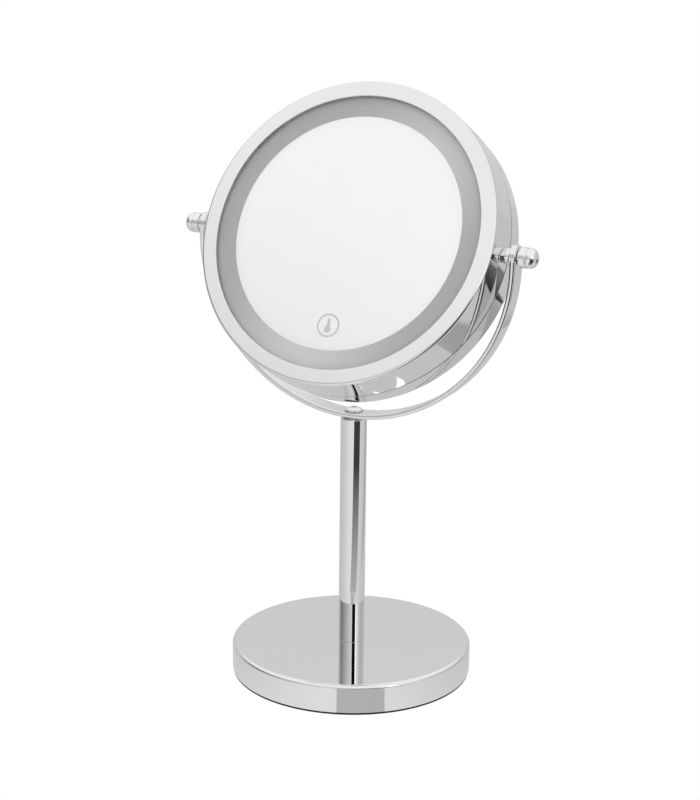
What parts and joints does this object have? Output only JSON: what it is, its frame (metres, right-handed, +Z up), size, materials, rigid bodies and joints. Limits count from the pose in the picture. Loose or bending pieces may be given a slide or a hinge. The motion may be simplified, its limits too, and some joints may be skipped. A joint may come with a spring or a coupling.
{
  "type": "lighted vanity mirror",
  "caption": "Tabletop two-sided vanity mirror: round chrome drum head with a lit ring, tilting in a half-ring yoke on a column and a weighted round base.",
  "frame": {"origin": "centre of the foot's underside, on the table", "axes": "+Z up; +X along the tilt axis, out of the right-hand knob as seen from the lit side; the lit face looks towards -Y"},
  "size_m": [0.215, 0.138, 0.3376],
  "materials": {
    "chrome": "polished chrome plate",
    "zinc_steel": "zinc plated steel",
    "cast_iron": "painted casting",
    "rubber": "matte black rubber",
    "black_plastic": "moulded plastic",
    "white_plastic": "moulded plastic",
    "pane": "clear float glass",
    "silvering": "silvered",
    "rear_glass": "silvered concave glass",
    "frost": "frosted translucent layer",
    "diffuser": "opal acrylic",
    "foam": "closed cell foam",
    "board_white": "white solder mask",
    "board_green": "green solder mask",
    "led_yellow": "phosphor",
    "component_black": "moulded epoxy",
    "brass": "turned brass",
    "cell_jacket": "plain printed jacket",
    "insulation_red": "PVC insulation",
    "insulation_black": "PVC insulation"
  },
  "bodies": {
    "stand": {"foot_pad": "rubber", "base_bottom_plate": "zinc_steel", "base_weight": "cast_iron", "base_cover": "chrome", "base_bolt": "zinc_steel", "base_bolt_washer": "zinc_steel", "column_bottom_insert": "zinc_steel", "column_tube": "chrome", "column_top_insert": "zinc_steel", "yoke": "chrome", "yoke_washer": "zinc_steel", "yoke_screw": "chrome", "friction_washers": "black_plastic"},
    "head": {"front_housing": "chrome", "front_glass": "pane", "mirror_silvering": "silvering", "frosted_band": "frost", "foam_pad": "foam", "diffuser_ring": "diffuser", "led_board": "board_white", "leds": "led_yellow", "led_resistors": "component_black", "chassis": "white_plastic", "chassis_screws": "zinc_steel", "touch_electrode": "brass", "touch_spring": "zinc_steel", "touch_board": "board_green", "touch_chip": "component_black", "battery_holder": "black_plastic", "batteries": "cell_jacket", "battery_springs": "zinc_steel", "battery_contacts": "zinc_steel", "wire_red": "insulation_red", "wire_black": "insulation_black", "pivot_inserts": "brass", "pivot_spacers": "chrome"},
    "rear_cover": {"rear_cover": "chrome", "rear_mirror": "rear_glass", "rear_backing_plate": "white_plastic", "backing_screws": "zinc_steel", "index_pin": "zinc_steel"},
    "left_knob": {"knob_left": "chrome", "stud_left": "zinc_steel"},
    "right_knob": {"knob_right": "chrome", "stud_right": "zinc_steel"}
  },
  "joints": [
    {"name": "head_tilt", "type": "hinge", "parent": "stand", "child": "head", "pos_m": [0, 0, 0.2535], "axis": [1, 0, 0], "continuous": true},
    {"name": "rear_cover_twist", "type": "hinge", "parent": "head", "child": "rear_cover", "pos_m": [0, 0, 0.2535], "axis": [0, 0.8829, -0.4695], "range_deg": [0, 15]},
    {"name": "left_knob_turn", "type": "hinge", "parent": "head", "child": "left_knob", "pos_m": [-0.1, 0, 0.2535], "axis": [-1, 0, 0], "range_deg": [0, 360]},
    {"name": "right_knob_turn", "type": "hinge", "parent": "head", "child": "right_knob", "pos_m": [0.1, 0, 0.2535], "axis": [1, 0, 0], "range_deg": [0, 360]}
  ]
}
